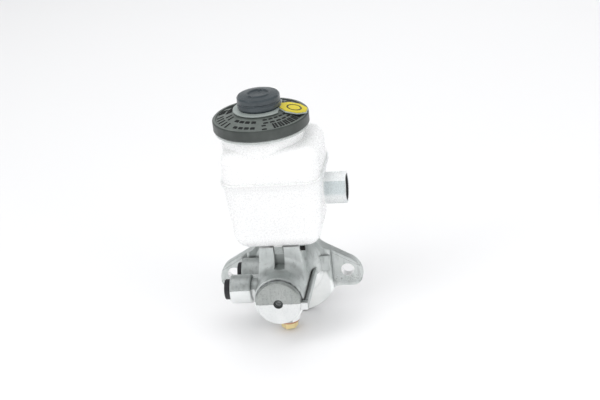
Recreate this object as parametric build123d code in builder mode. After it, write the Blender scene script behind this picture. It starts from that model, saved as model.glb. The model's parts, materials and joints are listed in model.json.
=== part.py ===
from build123d import *
import os
from math import cos, radians, sin, tan

os.makedirs("parts", exist_ok=True)

# Frame: the origin is midway between the two flange bolt holes, on the mounting face.
# +Y is the bore's direction towards the push rod, -Y towards the closed nose, +Z is up.
# Heights named "rise" are measured from the bore axis.

# ---------------------------------------------------------------- driving dimensions, mm
bolt_spacing = 80.0
bolt_hole_radius = 4.5
bore_z = 6.0
bore_radius = 10.32          # 13/16 inch bore
nose_y = -66.0
bore_end_y = -59.0
nose_radius = 15.3
nose_draft = 0.7
barrel_radius = 16.8
spigot_radius = 17.0
spigot_end_y = 33.0

ear_thickness = 6.0
hub_thickness = 9.0
hub_half_width = 29.3
lobe_radius = 35.6

neck_x = 0.8
neck_top_rise = 31.0
neck_front_y = -43.5
sweep_front_y = -51.0
neck_half_width = 14.0
neck_taper = 6.0             # degrees of draft on its sides
front_foot_y = -29.6
rear_foot_y = -11.5
socket_radius = 7.0
socket_floor_rise = 20.0

front_port_y = -41.5
rear_port_y = -16.4
front_port_end_x = -35.1
rear_port_end_x = -31.0
boss_radius = 9.7
port_radius = 4.6            # M10 x 1 thread, modelled at its pitch radius
port_depth = 13.0

stop_bolt_y = -32.4
stop_bolt_tip_radius = 2.0
bolt_boss_rise = -28.2
bolt_head_height = 4.4

reservoir_x = 2.3
reservoir_y = -31.0
reservoir_width = 64.0
reservoir_depth = 57.0
reservoir_corner = 11.0
reservoir_wall = 2.4
floor_rise = 34.2
seam_rise = 82.0
shoulder_rise = 105.0
side_taper = 5.0
cap_x = -3.3
cap_y = -31.0
filler_radius = 27.2
filler_top_rise = 117.2
cap_radius = 31.5
cap_top_rise = 121.0
cap_crown_rise = 124.9
cap_skirt_rise = 113.8
cap_lead = 6.0               # lift for one turn, two starts
ridge_span = 90.0            # degrees of turn in each thread ridge
ridge_depth = 0.95
connector_rise = 67.0
connector_end_x = 48.5
float_x = 7.0

running_gap = 0.03
press_gap = 0.02


# ---------------------------------------------------------------- helpers
def rise(height):
    """Z of a height measured from the bore axis."""
    return bore_z + height


def station(y):
    """Plane square to the bore at a given Y, facing the nose; its own x is X and its y is Z."""
    return Plane(origin=(0, y, bore_z), x_dir=(1, 0, 0), z_dir=(0, -1, 0))


def side_plane(x, y, height, z_dir=(-1, 0, 0)):
    """Plane square to X, for ports and the connector."""
    return Plane(origin=(x, y, rise(height)), x_dir=(0, 1, 0), z_dir=z_dir)


def turned_on_bore(points):
    """Solid turned about the bore axis from (y, radius) points."""
    with BuildPart() as turning:
        with BuildSketch(Plane.YZ):
            with BuildLine():
                Polyline([(y, bore_z + radius) for y, radius in points], close=True)
            make_face()
        revolve(axis=Axis((0, 0, bore_z), (0, 1, 0)))
    return turning.part


def turned_upright(centre_x, centre_y, points):
    """Solid turned about a vertical axis from (radius, rise) points."""
    upright = Plane(origin=(centre_x, centre_y, 0), x_dir=(1, 0, 0), z_dir=(0, -1, 0))
    with BuildPart() as turning:
        with BuildSketch(upright):
            with BuildLine():
                Polyline([(radius, rise(height)) for radius, height in points], close=True)
            make_face()
        revolve(axis=Axis((centre_x, centre_y, 0), (0, 0, 1)))
    return turning.part


def save(part, name):
    """Label a finished piece and write its STEP file."""
    part.label = name
    export_step(part, f"parts/{name}.step")


def drilling(start, end, radius):
    """Straight hole between two points, as a solid to subtract."""
    direction = Vector(*end) - Vector(*start)
    hole = Solid.make_cylinder(radius, direction.length, Plane(origin=start, z_dir=direction))
    return hole


def boss(end_x, y, length):
    """Outlet boss along +X from its outer end, with rounded rims."""
    with BuildPart() as turning:
        with BuildSketch(side_plane(end_x, y, 0, (1, 0, 0))):
            Circle(boss_radius)
        extrude(amount=length)
        fillet(turning.edges().filter_by(GeomType.CIRCLE), 1.0)
    return turning.part


def screw_ridge(radius, start_rise, start_angle, outward):
    """Helical ridge of one start of the cap's thread; it leans outward or inward from a radius."""
    side = 1 if outward else -1
    crest = side * ridge_depth
    root = -side * 0.3
    with BuildPart() as ridge:
        with BuildLine():
            path = Helix(cap_lead, cap_lead * ridge_span / 360, radius)
        with BuildSketch(Plane(origin=path @ 0, x_dir=(1, 0, 0), z_dir=path % 0)):
            with BuildLine():
                Polyline([(root, -0.45), (crest, -0.15), (crest, 0.15), (root, 0.45)], close=True)
            make_face()
        sweep(path=path, is_frenet=True)
    return Pos(cap_x, cap_y, rise(start_rise)) * Rot(0, 0, start_angle) * ridge.part


# ---------------------------------------------------------------- body casting
ear_x = bolt_spacing / 2
lobe_start = radians(-43.7)
lobe_middle = radians(-66.85)
ear_end = ear_x + 10.0
ear_floor_z = -12.3

# feed and compensating drillings: where each starts in a socket floor, where it meets the
# bore, and its radius
fluid_drillings = [
    drilling((neck_x, socket_y, rise(socket_floor_rise + 1)), (0, bore_y, rise(9.0)), radius)
    for socket_y, bore_y, radius in (
        (-30.6, -31.6, 1.5),
        (-35.2, -40.4, 0.6),
        (-7.0, 3.2, 1.5),
        (-7.4, -3.2, 0.6),
    )
]

# reservoir neck: a wide front wall with a narrower core behind it, drafted on their sides
neck_foot_rise = 4.0
neck_spread = (neck_top_rise - neck_foot_rise) * tan(radians(neck_taper))


def neck_slab(front_y, depth, half_width, edge_radius):
    """Upright slab of the neck, wider at its foot than at its top."""
    with BuildPart() as slab:
        with BuildSketch(Plane.XZ.offset(-front_y)):
            with Locations((neck_x, 0)):
                Polygon((-half_width, rise(neck_top_rise)), (half_width, rise(neck_top_rise)),
                        (half_width + neck_spread, rise(neck_foot_rise)),
                        (-half_width - neck_spread, rise(neck_foot_rise)), align=None)
        extrude(amount=-depth)
        flanks = slab.faces().filter_by(lambda face: abs(face.normal_at().X) > 0.5)
        fillet(flanks.edges().filter_by(lambda edge: abs(edge.tangent_at().Z) > 0.5), edge_radius)
    return slab.part


neck_wall = neck_slab(neck_front_y, 7.6, neck_half_width - 0.4, 1.1)
neck_core = neck_slab(-39.0, 35.0, neck_half_width - 2.6, 0.9)

# sweep from the neck's front wall forward into the barrel
with BuildPart() as neck_sweep:
    with BuildSketch(Plane.YZ):
        with BuildLine():
            under = Polyline((neck_front_y + 0.6, rise(16.0)), (sweep_front_y, rise(16.0)),
                             (sweep_front_y, rise(barrel_radius - 0.05)))
            hollow = ThreePointArc(under @ 1, (-45.7, rise(19.0)), (neck_front_y, rise(24.2)))
            Polyline(hollow @ 1, (neck_front_y + 0.6, rise(24.2)), (neck_front_y + 0.6, rise(16.0)))
        make_face()
    revolve(axis=Axis((0, 0, bore_z), (0, 1, 0)))
    add(neck_slab(sweep_front_y - 0.5, neck_front_y - sweep_front_y + 1.1, neck_half_width - 0.4, 0.3),
        mode=Mode.INTERSECT)

# flange plate: two ears, a round lobe below and a shoulder rising to the neck
with BuildPart() as flange_ears:
    with BuildSketch(Plane.XZ) as flange_outline:
        with BuildLine():
            crown = Line((0, rise(neck_top_rise - 1)), (neck_half_width + 1, rise(neck_top_rise - 1)))
            shoulder = ThreePointArc(crown @ 1, (18.0, 26.5), (27.0, 17.6))
            slope = Line(shoulder @ 1, (43.0, 8.4))
            ear_arc = ThreePointArc(slope @ 1, (ear_end - 0.9, 1.0), (ear_end, -4.5))
            corner = ThreePointArc(ear_arc @ 1, (ear_end - 2.2, -10.2), (ear_end - 7.5, ear_floor_z))
            underside = Line(corner @ 1, (35.0, ear_floor_z))
            web_end = (lobe_radius * cos(lobe_start), bore_z + lobe_radius * sin(lobe_start))
            web = ThreePointArc(underside @ 1, (29.3, -14.2), web_end)
            lobe = ThreePointArc(
                web @ 1,
                (lobe_radius * cos(lobe_middle), bore_z + lobe_radius * sin(lobe_middle)),
                (0, bore_z - lobe_radius),
            )
            mirror(about=Plane.YZ)
        make_face()
    extrude(amount=ear_thickness)
    fillet(flange_ears.faces().sort_by(Axis.Y)[0].edges(), 0.7)
with BuildPart() as flange_hub:
    with BuildSketch(Plane.XZ):
        add(flange_outline.sketch)
        with Locations((0, -15.5)):
            Rectangle(2 * hub_half_width, 120, mode=Mode.INTERSECT)
    extrude(amount=hub_thickness)
    fillet(flange_hub.faces().sort_by(Axis.Y)[0].edges().filter_by(Axis.Z), 2.6)
# raised as-cast pads beside the neck
with BuildPart() as cast_pads:
    with BuildSketch(Plane.XZ.offset(hub_thickness - 0.5)):
        with Locations((23.2, 7.4), (-23.2, 7.4)):
            RectangleRounded(11.4, 11.4, 1.0)
    extrude(amount=1.9)
    fillet(cast_pads.faces().filter_by(Axis.Y).group_by(Axis.Y)[0].edges(), 0.5)

# casting ledge along the right side
with BuildPart() as side_ledge:
    with BuildSketch(Plane.XY.offset(rise(-5.0))):
        with Locations((16.2, -37.5)):
            Rectangle(6.8, 55)
    extrude(amount=5.6)
    fillet(side_ledge.faces().sort_by(Axis.X)[-1].edges(), 0.5)

with BuildPart() as body:
    # barrel, flare into the flange and rear spigot, turned in one piece
    with BuildSketch(Plane.YZ):
        with BuildLine():
            outer = Polyline(
                (nose_y, bore_z),
                (nose_y, bore_z + nose_radius - 1.6),
                (nose_y + 0.6, bore_z + nose_radius - 0.5),
                (nose_y + 1.8, bore_z + nose_radius),
                (nose_y + 4.2, bore_z + nose_radius),
                (nose_y + 5.4, bore_z + barrel_radius),
                (-23.0, bore_z + barrel_radius),
            )
            flare = ThreePointArc(outer @ 1, (-14.0, bore_z + 19.2), (-8.0, bore_z + 26.0))
            rear = Polyline(
                flare @ 1,
                (-3.0, bore_z + 26.0),
                (-3.0, bore_z + spigot_radius),
                (spigot_end_y - 1.2, bore_z + spigot_radius),
                (spigot_end_y, bore_z + spigot_radius - 1.2),
                (spigot_end_y, bore_z),
                (nose_y, bore_z),
            )
        make_face()
    revolve(axis=Axis((0, 0, bore_z), (0, 1, 0)))

    # the nose face slopes back a little above and below its parting line
    for side in (1, -1):
        with BuildSketch(Plane.YZ.offset(-nose_radius - 1)):
            Polygon((nose_y - 1, bore_z), (nose_y, bore_z),
                    (nose_y + nose_draft, bore_z + side * (nose_radius + 1)),
                    (nose_y - 1, bore_z + side * (nose_radius + 1)), align=None)
        extrude(amount=2 * nose_radius + 2, mode=Mode.SUBTRACT)

    add(flange_ears)
    add(flange_hub)
    add(cast_pads)
    add(neck_wall)
    add(neck_core)
    add(neck_sweep)
    with BuildSketch(Plane.XY.offset(rise(neck_top_rise - 5))):
        with Locations((neck_x, -4.5)):
            Rectangle(2 * neck_half_width, 9)
    extrude(amount=5)

    # cheek webs from the neck's wide front wall down to the barrel
    with BuildSketch(Plane.YZ.offset(neck_x - neck_half_width)):
        Polygon((-38, rise(19)), (-38, rise(6)), (-14, rise(6)), align=None)
    extrude(amount=2 * neck_half_width)

    # casting ledge and its groove
    add(side_ledge)
    with BuildSketch(Plane.XY.offset(rise(0.6))):
        with Locations((16.9, -37.0)):
            Rectangle(1.7, 50)
    extrude(amount=-3.0, mode=Mode.SUBTRACT)

    # outlet bosses on the left; the front one necks down before the barrel
    add(boss(front_port_end_x, front_port_y, 14.3))
    with BuildSketch(side_plane(front_port_end_x + 2, front_port_y, 0, (1, 0, 0))):
        Circle(boss_radius - 2.4)
    extrude(amount=22)
    add(boss(rear_port_end_x, rear_port_y, 20.0))

    # stop-bolt boss under the barrel
    with BuildSketch(Plane.XY.offset(rise(bolt_boss_rise))):
        with Locations((0, stop_bolt_y)):
            Circle(7.8)
    extrude(amount=14.5, taper=-3)

    # main bore, bearing counterbore and snap-ring groove
    with BuildSketch(station(spigot_end_y)):
        Circle(bore_radius)
    extrude(amount=spigot_end_y - bore_end_y, mode=Mode.SUBTRACT)
    with BuildSketch(station(spigot_end_y)):
        Circle(12.5)
    extrude(amount=spigot_end_y - 19.8, mode=Mode.SUBTRACT)
    with BuildSketch(station(31.6)):
        Circle(13.6)
    extrude(amount=1.5, mode=Mode.SUBTRACT)

    # o-ring groove round the spigot
    with BuildSketch(station(7.7)):
        Circle(spigot_radius + 1)
        Circle(spigot_radius - 2.0, mode=Mode.SUBTRACT)
    extrude(amount=2.6, mode=Mode.SUBTRACT)

    # centring hole in the nose
    with BuildSketch(station(nose_y)):
        Circle(3.1)
    extrude(amount=-1.4, taper=14, mode=Mode.SUBTRACT)
    with BuildSketch(station(nose_y)):
        Circle(1.9)
    extrude(amount=-4.4, mode=Mode.SUBTRACT)

    # flange bolt holes
    with BuildSketch(Plane.XZ):
        with GridLocations(bolt_spacing, 1, 2, 1):
            Circle(bolt_hole_radius)
    extrude(amount=hub_thickness, mode=Mode.SUBTRACT)

    # outlet ports: threaded hole, seat pocket and drilling into the bore
    for end_x, port_y in ((front_port_end_x, front_port_y), (rear_port_end_x, rear_port_y)):
        with BuildSketch(side_plane(end_x, port_y, 0, (1, 0, 0))):
            Circle(port_radius)
        extrude(amount=port_depth, mode=Mode.SUBTRACT)
        with BuildSketch(side_plane(end_x, port_y, 0, (1, 0, 0))):
            Circle(3.0)
        extrude(amount=port_depth + 4.0, mode=Mode.SUBTRACT)
        with BuildSketch(side_plane(end_x, port_y, 0, (1, 0, 0))):
            Circle(1.5)
        extrude(amount=-end_x - 5.0, mode=Mode.SUBTRACT)

    # reservoir sockets with feed and compensating drillings
    with BuildSketch(Plane.XY.offset(rise(neck_top_rise))):
        with Locations((neck_x, front_foot_y), (neck_x, rear_foot_y)):
            Circle(socket_radius)
    extrude(amount=socket_floor_rise - neck_top_rise, mode=Mode.SUBTRACT)
    add(fluid_drillings, mode=Mode.SUBTRACT)

    # stop-bolt hole
    with BuildSketch(Plane.XY.offset(rise(bolt_boss_rise))):
        with Locations((0, stop_bolt_y)):
            Circle(4.0)
    extrude(amount=12.0, mode=Mode.SUBTRACT)
    with BuildSketch(Plane.XY.offset(rise(bolt_boss_rise))):
        with Locations((0, stop_bolt_y)):
            Circle(stop_bolt_tip_radius + 0.2)
    extrude(amount=20.0, mode=Mode.SUBTRACT)

    # recessed window in the neck's front wall, open at the top for the reservoir's tab
    with BuildSketch(Plane.XZ.offset(1 - sweep_front_y)):
        with Locations((0.2, rise(24.05))):
            Rectangle(6.8, 14.1)
    extrude(amount=sweep_front_y - neck_front_y - 4.6, mode=Mode.SUBTRACT)
    with BuildSketch(Plane.XZ.offset(-neck_front_y + 1)):
        with Locations((0.2, rise(28.5))):
            Rectangle(6.6, 6)
    extrude(amount=-7.1, mode=Mode.SUBTRACT)

    # cross hole for the reservoir pin
    with BuildSketch(side_plane(-20, neck_front_y + 3.3, 28.2, (1, 0, 0))):
        Circle(1.62)
    extrude(amount=40, mode=Mode.SUBTRACT)

save(body.part, "body_casting")


# ---------------------------------------------------------------- reservoir
def tapered_shell(inset, floor):
    """Lower reservoir outline, tapering from the weld seam to its round-bottomed floor."""
    with BuildPart() as block:
        with BuildSketch(Plane.XY.offset(rise(seam_rise))):
            with Locations((reservoir_x, reservoir_y)):
                RectangleRounded(reservoir_width - 2 * inset, reservoir_depth - 2 * inset,
                                 reservoir_corner - inset)
        extrude(amount=-(seam_rise - floor), taper=side_taper)
        bottom = block.faces().sort_by(Axis.Z)[0]
        fillet(bottom.edges(), 11.0 - inset)
    return block.part


def straight_shell(inset, ceiling):
    """Upper reservoir outline, from the weld seam to its rounded shoulder."""
    with BuildPart() as block:
        with BuildSketch(Plane.XY.offset(rise(seam_rise))):
            with Locations((reservoir_x, reservoir_y)):
                RectangleRounded(reservoir_width - 2 * inset, reservoir_depth - 2 * inset,
                                 reservoir_corner - inset)
        extrude(amount=ceiling - seam_rise, taper=1.0)
        top = block.faces().sort_by(Axis.Z)[-1]
        fillet(top.edges(), 8.0 - inset)
    return block.part


switch_tube_radius = 5.0
switch_tube_bore = 3.7
guide_radius = 2.4
guide_top_rise = 96.5
baffle_y = (front_foot_y + rear_foot_y) / 2

lower_outside = tapered_shell(0, floor_rise)
lower_inside = tapered_shell(reservoir_wall, floor_rise + reservoir_wall)
with BuildPart() as reservoir_lower:
    add(lower_outside)
    add(lower_inside, mode=Mode.SUBTRACT)
    # feet that plug into the grommets; the rear one reaches up to the rounded floor
    with BuildSketch(Plane.XY.offset(rise(22.0))):
        with Locations((neck_x, front_foot_y), (neck_x, rear_foot_y)):
            Circle(4.85)
    extrude(amount=16.7)
    with BuildSketch(Plane.XY.offset(rise(22.0))):
        with Locations((neck_x, front_foot_y), (neck_x, rear_foot_y)):
            Circle(3.2)
    extrude(amount=20.2, mode=Mode.SUBTRACT)
    # baffle between the two circuits
    with BuildSketch(Plane.XY.offset(rise(floor_rise + 1.0))):
        with Locations((reservoir_x, baffle_y)):
            Rectangle(40, 2.0)
    extrude(amount=20)
    # tab for the retaining pin
    with BuildSketch(Plane.XY.offset(rise(25.8))):
        with Locations((0.2, neck_front_y + 3.2)):
            Rectangle(5.8, 5.4)
    extrude(amount=10.4)
    with BuildSketch(side_plane(-6, neck_front_y + 3.3, 28.2, (1, 0, 0))):
        Circle(1.68)
    extrude(amount=12, mode=Mode.SUBTRACT)
    # weld ridge at the seam
    with BuildSketch(Plane.XY.offset(rise(seam_rise - 1.4))):
        with Locations((reservoir_x, reservoir_y)):
            RectangleRounded(reservoir_width + 2.6, reservoir_depth + 2.6, reservoir_corner + 1.3)
            RectangleRounded(reservoir_width - 2 * reservoir_wall, reservoir_depth - 2 * reservoir_wall,
                             reservoir_corner - reservoir_wall, mode=Mode.SUBTRACT)
    extrude(amount=1.4)
    # connector shell on the right and the blind pocket for the reed switch
    with BuildSketch(side_plane(26.0, reservoir_y, connector_rise, (1, 0, 0))):
        Circle(10.5)
    extrude(amount=connector_end_x - 26.0)
    add(lower_inside, mode=Mode.SUBTRACT)
    with BuildSketch(side_plane(0.0, reservoir_y, connector_rise, (1, 0, 0))):
        Circle(switch_tube_radius)
    extrude(amount=32)
    with BuildSketch(Plane.XY.offset(rise(connector_rise))):
        with Locations((float_x, reservoir_y)):
            Circle(guide_radius)
    extrude(amount=guide_top_rise - connector_rise)
    with BuildSketch(side_plane(2.0, reservoir_y, connector_rise, (1, 0, 0))):
        Circle(switch_tube_bore)
    extrude(amount=40, mode=Mode.SUBTRACT)
    with BuildSketch(side_plane(35.5, reservoir_y, connector_rise, (1, 0, 0))):
        Circle(9.0)
    extrude(amount=20, mode=Mode.SUBTRACT)
save(reservoir_lower.part, "reservoir_lower")

upper_outside = straight_shell(0, shoulder_rise)
upper_inside = straight_shell(reservoir_wall, shoulder_rise - reservoir_wall)
neck_ridges = [screw_ridge(filler_radius, 115.15, start, True) for start in (0, 180)]
with BuildPart() as reservoir_upper:
    add(upper_outside)
    with BuildSketch(Plane.XY.offset(rise(seam_rise + 8))):
        with Locations((cap_x, cap_y)):
            Circle(filler_radius)
    extrude(amount=filler_top_rise - seam_rise - 8)
    # stop ring under the cap's skirt
    with BuildSketch(Plane.XY.offset(rise(cap_skirt_rise - 1.9))):
        with Locations((cap_x, cap_y)):
            Circle(cap_radius - 0.9)
    extrude(amount=1.5)
    add(upper_inside, mode=Mode.SUBTRACT)
    with BuildSketch(Plane.XY.offset(rise(seam_rise))):
        with Locations((cap_x, cap_y)):
            Circle(filler_radius - 2.3)
    extrude(amount=filler_top_rise - seam_rise + 1, mode=Mode.SUBTRACT)
    with BuildSketch(Plane.XY.offset(rise(seam_rise))):
        with Locations((reservoir_x, reservoir_y)):
            RectangleRounded(reservoir_width + 2.6, reservoir_depth + 2.6, reservoir_corner + 1.3)
            RectangleRounded(reservoir_width - 2 * reservoir_wall, reservoir_depth - 2 * reservoir_wall,
                             reservoir_corner - reservoir_wall, mode=Mode.SUBTRACT)
    extrude(amount=1.4)
    # rebate for the strainer's rim
    with BuildSketch(Plane.XY.offset(rise(filler_top_rise))):
        with Locations((cap_x, cap_y)):
            Circle(filler_radius - 1.2)
    extrude(amount=-1.4, mode=Mode.SUBTRACT)
    add(neck_ridges)
save(reservoir_upper.part, "reservoir_upper")

for name, foot_y in (("front_grommet", front_foot_y), ("rear_grommet", rear_foot_y)):
    grommet = turned_upright(neck_x, foot_y, [
        (4.87, 23.0), (6.6, 23.0), (socket_radius - press_gap, 23.6), (socket_radius - press_gap, 25.4),
        (6.6, 25.9), (6.6, 26.9), (socket_radius - press_gap, 27.4), (socket_radius - press_gap, 31.02),
        (7.7, 31.02), (7.7, 31.9), (4.87, 31.9),
    ])
    save(grommet, name)

with BuildPart() as reservoir_pin:
    with BuildSketch(side_plane(-12.6, neck_front_y + 3.3, 28.2, (1, 0, 0))):
        Circle(1.6)
        Circle(0.75, mode=Mode.SUBTRACT)
        with Locations((0, 1.2)):
            Rectangle(0.6, 1.6, mode=Mode.SUBTRACT)
    extrude(amount=30.4)
save(reservoir_pin.part, "reservoir_pin")


# ---------------------------------------------------------------- level sensor
with BuildPart() as level_switch:
    with BuildSketch(side_plane(35.6, reservoir_y, connector_rise, (1, 0, 0))):
        Circle(8.95)
    extrude(amount=3.2)
    with BuildSketch(side_plane(3.0, reservoir_y, connector_rise, (1, 0, 0))):
        Circle(switch_tube_bore - 0.1)
    extrude(amount=33.0)
    # slots for the two terminals
    with BuildSketch(side_plane(33.0, reservoir_y, connector_rise, (1, 0, 0))):
        with GridLocations(4.4, 1, 2, 1):
            Rectangle(2.9, 0.9)
    extrude(amount=8, mode=Mode.SUBTRACT)
save(level_switch.part, "level_switch")

with BuildPart() as switch_terminals:
    with BuildSketch(side_plane(33.2, reservoir_y, connector_rise, (1, 0, 0))):
        with GridLocations(4.4, 1, 2, 1):
            Rectangle(2.8, 0.8)
    extrude(amount=12.6)
save(switch_terminals.part, "switch_terminals")

float_bottom_rise = connector_rise + switch_tube_radius + 0.5
float_height = 9.0
level_float = turned_upright(float_x, reservoir_y, [
    (5.9, float_bottom_rise), (10.2, float_bottom_rise), (11.2, float_bottom_rise + 1.0),
    (11.2, float_bottom_rise + float_height - 1.0), (10.2, float_bottom_rise + float_height),
    (2.9, float_bottom_rise + float_height), (2.9, float_bottom_rise + 3.2),
    (5.9, float_bottom_rise + 3.2),
])
save(level_float, "level_float")
float_magnet = turned_upright(float_x, reservoir_y, [
    (3.1, float_bottom_rise + 0.2), (5.87, float_bottom_rise + 0.2),
    (5.87, float_bottom_rise + 3.18), (3.1, float_bottom_rise + 3.18),
])
save(float_magnet, "float_magnet")
float_clip = turned_upright(float_x, reservoir_y, [
    (guide_radius + press_gap, 95.2), (4.4, 95.2), (4.0, 96.2), (guide_radius + press_gap, 96.2),
])
save(float_clip, "float_clip")


# ---------------------------------------------------------------- filler
with BuildPart() as filler_strainer:
    with BuildSketch(Plane.XY.offset(rise(filler_top_rise - 1.36))):
        with Locations((cap_x, cap_y)):
            Circle(filler_radius - 1.25)
    extrude(amount=1.3)
    with BuildSketch(Plane.XY.offset(rise(100.0))):
        with Locations((cap_x, cap_y)):
            Circle(20.5)
    extrude(amount=filler_top_rise - 100.5)
    with BuildSketch(Plane.XY.offset(rise(101.2))):
        with Locations((cap_x, cap_y)):
            Circle(19.3)
    extrude(amount=filler_top_rise - 101.2, mode=Mode.SUBTRACT)
    with BuildSketch(Plane.XY.offset(rise(100.0))):
        with Locations((cap_x, cap_y)):
            with HexLocations(2.6, 8, 8):
                Circle(1.1)
            Circle(17.8, mode=Mode.INTERSECT)
    extrude(amount=1.2, mode=Mode.SUBTRACT)
save(filler_strainer.part, "filler_strainer")

cap_bore = filler_radius + 1.4
cap_disc = turned_upright(cap_x, cap_y, [
    (6.5, 122.7), (14.0, 122.7), (26.6, 118.3), (cap_bore, 118.3), (cap_bore, cap_skirt_rise),
    (cap_radius - 0.5, cap_skirt_rise), (cap_radius, cap_skirt_rise + 0.5),
    (cap_radius, cap_top_rise - 0.7), (cap_radius - 0.7, cap_top_rise), (29.4, cap_top_rise),
    (28.8, cap_top_rise - 0.6), (14.5, cap_crown_rise), (6.5, cap_crown_rise),
])
cap_ridges = [screw_ridge(cap_bore, 114.3, start, False) for start in (0, 180)]
with BuildPart() as filler_cap:
    add(cap_disc)
    add(cap_ridges)
save(filler_cap.part, "filler_cap")

cap_diaphragm = turned_upright(cap_x, cap_y, [
    (0, 112.6), (13.5, 112.6), (15.0, 113.8), (15.0, 117.24), (27.0, 117.24), (27.0, 118.24),
    (13.8, 118.24), (13.8, 114.4), (12.8, 113.6), (0, 113.6),
])
save(cap_diaphragm, "cap_diaphragm")

cap_boot = turned_upright(cap_x, cap_y, [
    (4.2, 121.0), (7.3, 121.0), (7.0, 122.68), (6.48, 122.68), (6.48, 124.92), (12.8, 124.92),
    (12.9, 126.6), (13.9, 127.2), (14.2, 127.9), (14.2, 129.9), (13.6, 130.5), (13.6, 131.0),
    (14.1, 131.6), (14.0, 133.9), (13.2, 135.0), (7.9, 135.4), (7.6, 136.0), (6.6, 136.0),
    (6.3, 135.3), (0, 135.1), (0, 133.5), (4.2, 133.5),
])
save(cap_boot, "cap_boot")

# tag: a loose ring on the crown whose tongue is bent down over the cone
tag_top_rise = 126.2
tag_thickness = 0.8
tag_bend_x = 13.5
tongue_x = 8.6               # middle of the tongue, from the bend
tag_ring_radius = 17.4
tag_bore = 13.2
octagon_shape = (1.0, 0.87, 1.0)
slope = radians(13.5)
tongue_plane = Plane(origin=(cap_x + tag_bend_x, cap_y, rise(tag_top_rise)),
                     x_dir=(cos(slope), 0, -sin(slope)), z_dir=(sin(slope), 0, cos(slope)))
with BuildPart() as cap_tag:
    with BuildSketch(Plane.XY.offset(rise(tag_top_rise))):
        with Locations((cap_x, cap_y)):
            Circle(tag_ring_radius)
            Circle(tag_bore, mode=Mode.SUBTRACT)
        with Locations((cap_x + tag_bend_x - 20.0 + 0.1, cap_y)):
            Rectangle(40.0, 40.0, mode=Mode.INTERSECT)
    extrude(amount=-tag_thickness)
    with BuildSketch(tongue_plane):
        with Locations((-tag_bend_x, 0)):
            Circle(tag_ring_radius)
        with Locations((tongue_x, 0)):
            scale(RegularPolygon(10.25, 8, rotation=22.5, mode=Mode.PRIVATE), by=octagon_shape)
        with Locations((-tag_bend_x, 0)):
            Circle(tag_bore, mode=Mode.SUBTRACT)
        with Locations((20.0, 0)):
            Rectangle(40.0, 40.0, mode=Mode.INTERSECT)
    extrude(amount=-tag_thickness)
save(cap_tag.part, "cap_tag")

with BuildPart() as tag_label:
    with BuildSketch(tongue_plane.offset(0.02)):
        with Locations((tongue_x, 0)):
            scale(RegularPolygon(9.7, 8, rotation=22.5, mode=Mode.PRIVATE), by=octagon_shape)
        with Locations((-tag_bend_x, 0)):
            Circle(tag_bend_x + 0.6, mode=Mode.SUBTRACT)
    extrude(amount=0.45)
save(tag_label.part, "tag_label")


# ---------------------------------------------------------------- pistons, seals and springs
slide_radius = bore_radius - running_gap - 0.03
seal_radius = bore_radius - press_gap
secondary_front_y = -39.8
secondary_rear_y = -18.2
secondary_piston = turned_on_bore([
    (-47.5, 0), (-47.5, 3.6), (-46.7, 4.4), (secondary_front_y, 4.4), (secondary_front_y, 5.4),
    (-35.8, 5.4), (-35.8, slide_radius), (-34.45, slide_radius), (-34.45, 5.2), (-23.8, 5.2),
    (-23.8, slide_radius), (-22.4, slide_radius), (-22.4, 7.6), (-19.2, 7.6),
    (-19.2, slide_radius), (secondary_rear_y, slide_radius), (secondary_rear_y, 0),
])
save(secondary_piston, "secondary_piston")

primary_front_y = -4.2
primary_shoulder_y = 19.6
with BuildPart() as primary_piston:
    add(turned_on_bore([
        (primary_front_y, 6.4), (primary_front_y, slide_radius), (-2.6, slide_radius), (-2.6, 8.0),
        (0.6, 8.0), (0.6, slide_radius), (1.6, slide_radius), (1.6, 8.2), (17.6, 8.2),
        (17.6, slide_radius), (primary_shoulder_y, slide_radius), (primary_shoulder_y, 8.0),
        (39.0, 8.0), (40.0, 7.0), (40.0, 4.2), (27.0, 4.2), (24.6, 0), (14.0, 0), (14.0, 1.8),
        (8.0, 1.8), (8.0, 6.4),
    ]))
save(primary_piston.part, "primary_piston")


def lip_seal(heel_y, lip_y, inner, outer):
    """Cup seal whose open lips face lip_y."""
    side = 1 if lip_y > heel_y else -1
    middle = (inner + outer) / 2
    return turned_on_bore([
        (heel_y, inner), (heel_y, outer - 0.35), (heel_y + side * 1.2, outer - 0.15),
        (lip_y, outer), (lip_y, outer - 0.8), (heel_y + side * 1.5, middle + 0.1),
        (heel_y + side * 1.5, middle - 0.1), (lip_y, inner + 0.5), (lip_y, inner),
    ])


save(lip_seal(-36.32, -39.7, 5.43, seal_radius), "secondary_front_cup")
save(lip_seal(-22.36, -19.26, 7.63, seal_radius), "secondary_rear_cup")
save(lip_seal(0.56, -2.5, 8.03, seal_radius), "primary_front_cup")
save(turned_on_bore([(-36.3, 5.45), (-36.3, 9.6), (-35.82, 9.6), (-35.82, 5.45)]), "front_cup_washer")

retainer_collar_y = -9.2
spring_retainer = turned_on_bore([
    (-18.16, 3.8), (-18.16, 7.4), (-17.36, 7.4), (-17.36, 4.6), (retainer_collar_y, 4.6),
    (retainer_collar_y, 2.3), (-10.2, 2.3), (-10.2, 3.8),
])
save(spring_retainer, "spring_retainer")
retainer_screw = turned_on_bore([
    (-12.0, 0), (-12.0, 2.6), (-11.6, 3.5), (-10.3, 3.5), (-10.3, 1.95), (8.0, 1.95),
    (8.0, 1.78), (13.4, 1.78), (13.4, 0),
])
save(retainer_screw, "retainer_screw")


def coil_spring(start_y, end_y, mean_radius, wire_radius, turns):
    """Compression spring wound about the bore axis."""
    length = end_y - start_y - 2 * wire_radius
    foot = (0, start_y + wire_radius, bore_z)
    with BuildPart() as spring:
        with BuildLine():
            wire = Helix(length / turns, length, mean_radius, center=foot, direction=(0, 1, 0))
        with BuildSketch(Plane(origin=wire @ 0, z_dir=wire % 0)):
            Circle(wire_radius)
        sweep(path=wire, is_frenet=True)
    return spring.part


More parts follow.
